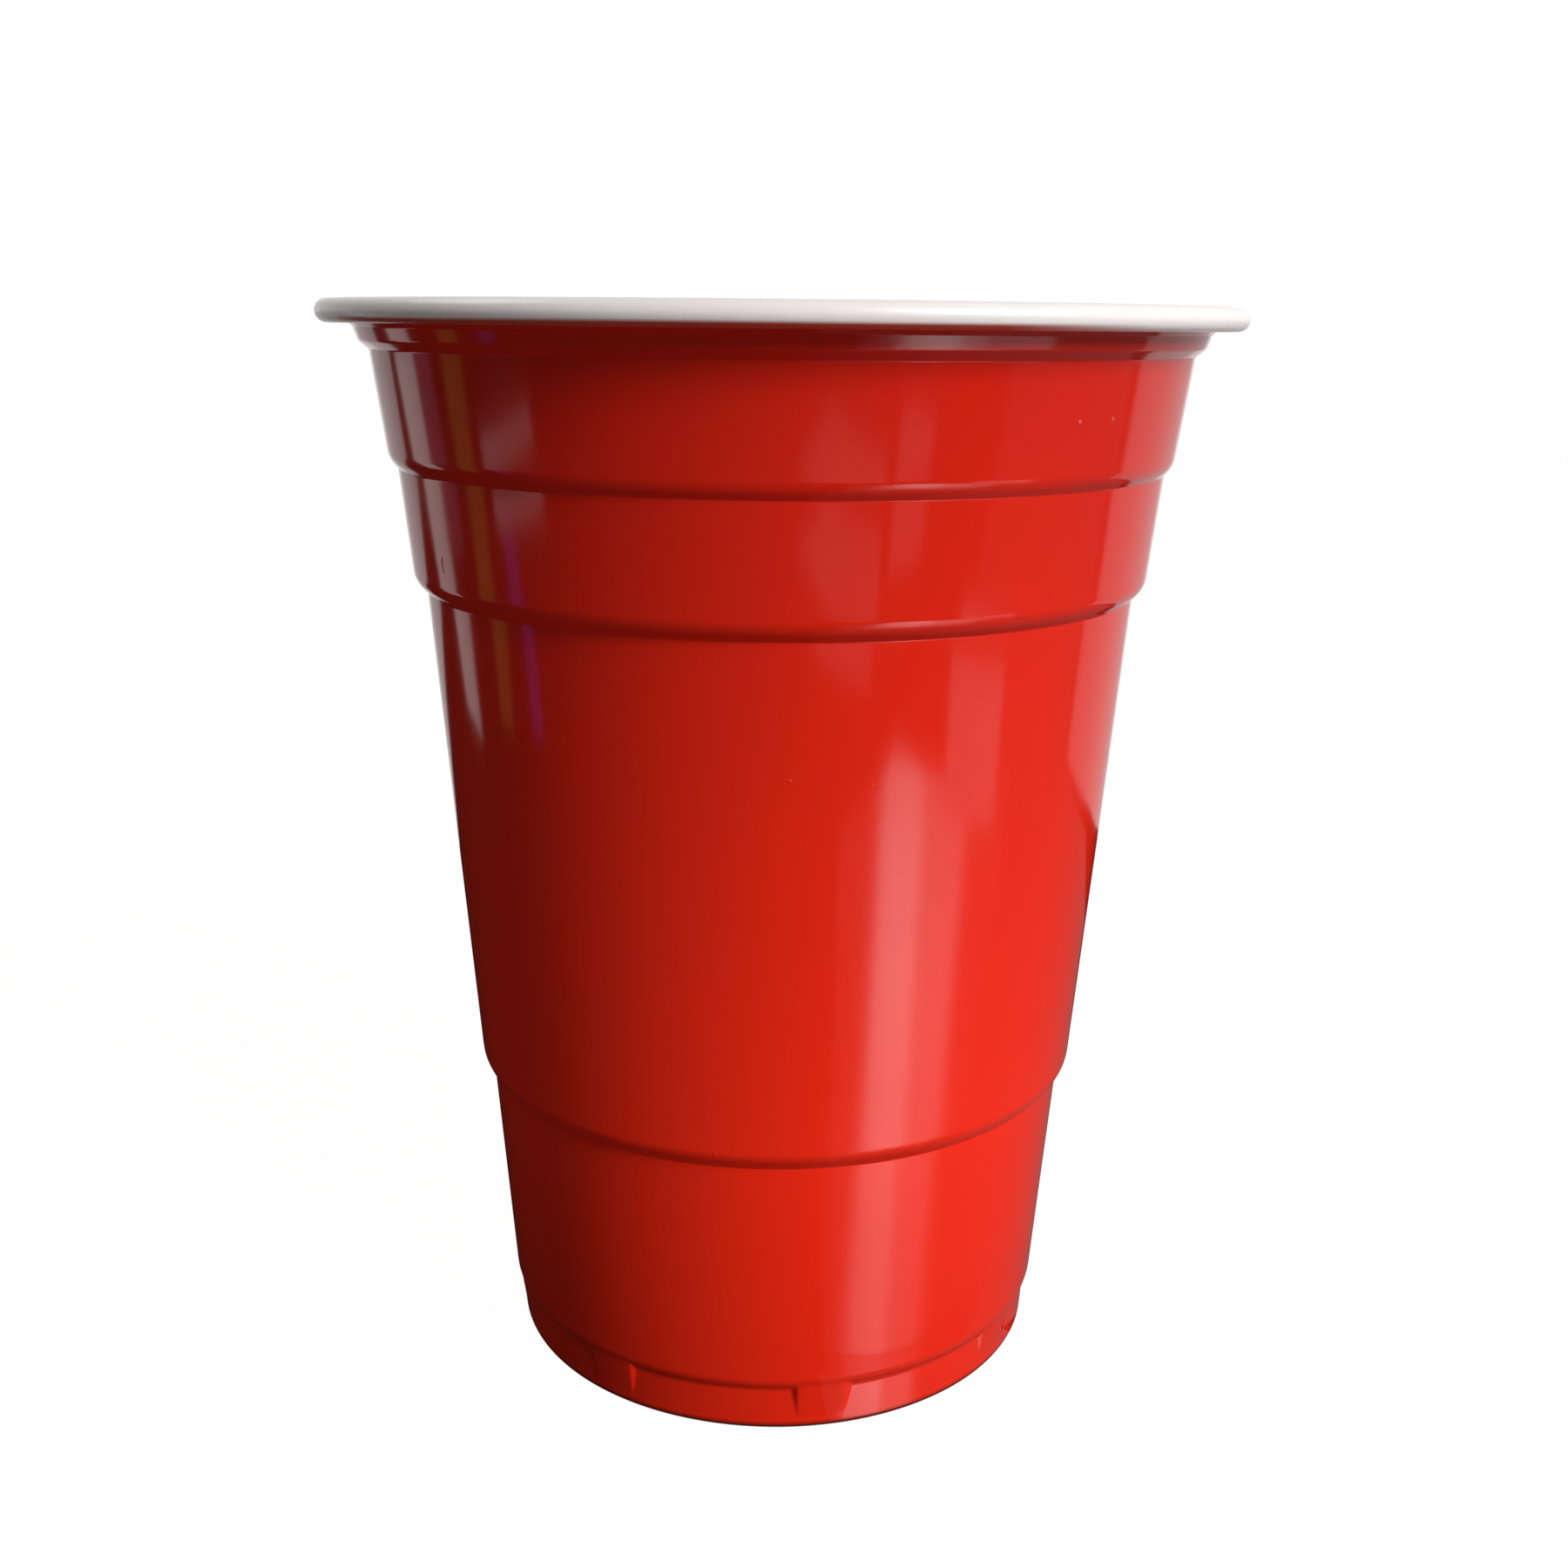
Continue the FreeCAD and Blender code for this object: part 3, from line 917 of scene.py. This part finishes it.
@dataclass(frozen=True)
class Studio:
    """A plain white floor under a white surround, with a soft window of light and little fill.

    Cards lie on the floor where only the cup's gloss sees them. They stand for the room: dark
    round the cup, paler further off, with a few strips and patches, and some are polished. One
    more, which only soft light meets, keeps the floor's light off the foot.
    """

    floor_size: float = 3.0
    floor_drop: float = 0.0002
    floor_glow: float = 0.7
    glow_strength: float = 1.385
    floor_colour: Colour = (0.36, 0.35, 0.345, 1.0)
    fill: float = 0.055
    cards: tuple[Card, ...] = (
        Card(
            "table_card",
            0.0002,
            (0.11, 0.10, 0.10),
            ((-0.065, -0.065), (0.065, -0.065), (0.065, 0.065), (-0.065, 0.065)),
            soft_light=True,
        ),
        Card(
            "far_card",
            0.0002,
            (0.57, 0.55, 0.55),
            ((-2.4, -2.4), (2.4, -2.4), (2.4, 2.4), (-2.4, 2.4)),
        ),
        Card(
            "back_card",
            0.0003,
            (0.86, 0.82, 0.81),
            ((-0.10, 0.19), (0.10, 0.19), (1.15, 2.40), (-1.15, 2.40)),
        ),
        Card(
            "dark_card",
            0.0004,
            (0.010, 0.006, 0.005),
            (
                (-0.90, -0.60),
                (0.70, -0.60),
                (0.70, 0.25),
                (0.36, 0.115),
                (0.23, 0.062),
                (0.165, 0.135),
                (0.095, 0.185),
                (-0.09, 0.17),
                (-0.20, 0.26),
                (-0.31, 0.32),
                (-0.49, 0.44),
                (-0.90, 0.80),
            ),
        ),
        Card(
            "right_card",
            0.0005,
            (0.13, 0.12, 0.12),
            (
                (0.028, -0.019),
                (0.23, -0.16),
                (0.60, -0.30),
                (0.70, 0.20),
                (0.23, 0.055),
                (0.155, 0.12),
                (0.08, 0.12),
                (0.03, 0.01),
            ),
        ),
        Card(
            "pale_strip",
            0.0005,
            (0.94, 0.88, 0.88),
            ((-0.235, 0.085), (-0.80, 0.37), (-0.80, 0.62), (-0.25, 0.14)),
        ),
        Card(
            "plum_strip",
            0.0006,
            (0.22, 0.10, 0.16),
            ((-0.39, 0.10), (-0.80, 0.24), (-0.80, 0.38), (-0.39, 0.17)),
        ),
        Card(
            "olive_strip",
            0.0005,
            (0.32, 0.22, 0.05),
            ((-0.245, 0.004), (-0.66, 0.025), (-0.70, 0.13), (-0.255, 0.032)),
        ),
        Card(
            "violet_strip",
            0.0005,
            (0.18, 0.06, 0.50),
            ((-0.235, -0.036), (-0.228, -0.054), (-0.375, -0.064), (-0.388, -0.033)),
        ),
        Card(
            "side_patch",
            0.0005,
            (0.80, 0.70, 0.68),
            ((-0.395, -0.02), (-0.445, -0.015), (-0.40, -0.155), (-0.355, -0.145)),
        ),
        Card(
            "front_patch",
            0.0005,
            (0.44, 0.40, 0.40),
            ((0.02, -0.31), (0.075, -0.35), (0.15, -0.29), (0.115, -0.225), (0.06, -0.26)),
        ),
        Card(
            "front_patch_beyond",
            0.0005,
            (0.50, 0.45, 0.45),
            ((0.145, -0.255), (0.19, -0.32), (0.24, -0.285), (0.195, -0.245)),
        ),
        PolishedCard(
            "polished_card",
            0.0007,
            (0.03, 0.03, 0.03),
            (
                (0.023, -0.078),
                (0.056, -0.168),
                (0.126, -0.176),
                (0.168, -0.122),
                (0.215, -0.050),
                (0.076, -0.038),
            ),
            specular=1.0,
            roughness=0.22,
        ),
        PolishedCard(
            "polished_card_near",
            0.0006,
            (0.02, 0.02, 0.02),
            ((0.010, -0.040), (0.023, -0.085), (0.085, -0.040), (0.040, -0.020)),
            specular=0.65,
            roughness=0.22,
        ),
        PolishedCard(
            "polished_card_close",
            0.0005,
            (0.02, 0.02, 0.02),
            ((0.009, -0.034), (0.010, -0.042), (0.042, -0.020), (0.034, -0.016)),
            specular=0.3,
            roughness=0.22,
        ),
        PolishedCard(
            "polished_card_under",
            0.0007,
            (0.02, 0.02, 0.02),
            ((0.004, -0.018), (0.0075, -0.037), (0.036, -0.016), (0.018, -0.007)),
            specular=1.0,
            roughness=0.16,
        ),
        Card(
            "branch_card",
            0.0008,
            (0.92, 0.82, 0.80),
            ((0.150, -0.118), (0.225, -0.175), (0.270, -0.090), (0.175, -0.062)),
        ),
    )
    lamps: tuple[SoftLamp, ...] = (
        SoftLamp("window", 42.0, size=(0.34, 0.62), power=17.2, elevation=32.0),
        SoftLamp("window_side", 57.5, size=(0.40, 0.62), power=8.6, elevation=32.0),
        SoftLamp("far_window", -112.0, size=(0.80, 0.50), power=3.0, elevation=50.0),
    )

    def seen(self, board: NodeBoard) -> bpy.types.NodeSocket:
        """One where the camera, a mirror or a clear piece sees the surface, and else zero."""
        path = board.add("ShaderNodeLightPath").outputs
        total = board.math("ADD", path["Is Camera Ray"], path["Is Glossy Ray"])
        total = board.math("ADD", total, path["Is Transmission Ray"])
        return board.math("MINIMUM", total, 1.0)

    def lay_floor(self) -> bpy.types.Object:
        """Lays the floor: pale, with a white glow of its own that leaves the shadow on it.

        Returns:
            The floor's object.
        """
        half = self.floor_size / 2
        across = np.array([(-half, -half), (half, -half), (half, half), (-half, half)])
        points = np.column_stack((across, np.full(4, -self.floor_drop)))
        mesh = bpy.data.meshes.new("floor")
        mesh.from_pydata(points.tolist(), [], [(0, 1, 2, 3)])
        made, board = start_material("pale_floor")
        matt = board.add("ShaderNodeBsdfDiffuse", {"Color": self.floor_colour})
        glow = board.add("ShaderNodeEmission", {"Strength": self.glow_strength})
        share = board.math("MULTIPLY", self.seen(board), self.floor_glow)
        mixed = board.add(
            "ShaderNodeMixShader", {0: share, 1: matt.outputs[0], 2: glow.outputs[0]}
        )
        board.add("ShaderNodeOutputMaterial", {"Surface": mixed.outputs[0]})
        mesh.materials.append(made)
        floor = put_in_scene("floor", mesh)
        return floor

    def surround(self) -> None:
        """Sets the world: white where it is seen, and a dim even fill for the surfaces."""
        world = bpy.data.worlds.new("studio")
        world.use_nodes = True
        world.node_tree.nodes.clear()
        board = NodeBoard(world.node_tree)
        strength = board.math("MULTIPLY_ADD", self.seen(board), 1.0 - self.fill, self.fill)
        light = board.add(
            "ShaderNodeBackground", {"Color": (1.0, 1.0, 1.0, 1.0), "Strength": strength}
        )
        board.add("ShaderNodeOutputWorld", {"Surface": light.outputs[0]})
        bpy.context.scene.world = world

    def set_up(self) -> None:
        """Lays the floor, sets the surround and hangs the lamps."""
        self.lay_floor()
        for card in self.cards:
            card.lay()
        self.surround()
        for lamp in self.lamps:
            lamp.hang()
        bpy.context.scene.view_settings.view_transform = "Standard"


@dataclass(frozen=True)
class Viewpoint:
    """Where the photograph was taken from, in metres and radians, for a square picture."""

    place: Point = (0.0, -0.190035, 0.112648)
    pitch: float = 0.258566
    yaw: float = 0.003427
    roll: float = 0.010837
    lens: float = 40.251
    sensor: float = 36.0

    def set_camera(self) -> bpy.types.Object:
        """Makes the camera and looks through it.

        It looks along a line that is turned by the yaw and tipped down by the pitch, and its
        own axes are then rolled about that line.

        Returns:
            The camera's object.
        """
        ahead = Vector(
            (
                math.sin(self.yaw) * math.cos(self.pitch),
                math.cos(self.yaw) * math.cos(self.pitch),
                -math.sin(self.pitch),
            )
        )
        level = ahead.cross(Vector((0.0, 0.0, 1.0))).normalized()
        above = level.cross(ahead)
        cosine, sine = math.cos(self.roll), math.sin(self.roll)
        right = level * cosine + above * sine
        up = above * cosine - level * sine
        turned = Matrix((right, up, -ahead)).transposed().to_4x4()
        data = bpy.data.cameras.new("camera")
        data.lens, data.sensor_width = self.lens, self.sensor
        data.clip_start = 0.01
        camera = put_in_scene("camera", data)
        camera.matrix_world = Matrix.Translation(self.place) @ turned
        bpy.context.scene.camera = camera
        return camera


def main() -> None:
    """Builds the cup, its finishes, the studio and the camera, in that order."""
    logging.basicConfig(level=logging.INFO, format="%(message)s")
    shape = Cup()
    cup = shape.build()
    shape.dress(cup, GlossyRed(), SoftWhite())
    shape.join_frame(cup)
    LOG.info("%s: %d vertices, %d faces", cup.name, len(cup.data.vertices), len(cup.data.polygons))
    Studio().set_up()
    Viewpoint().set_camera()


if __name__ == "__main__":
    main()
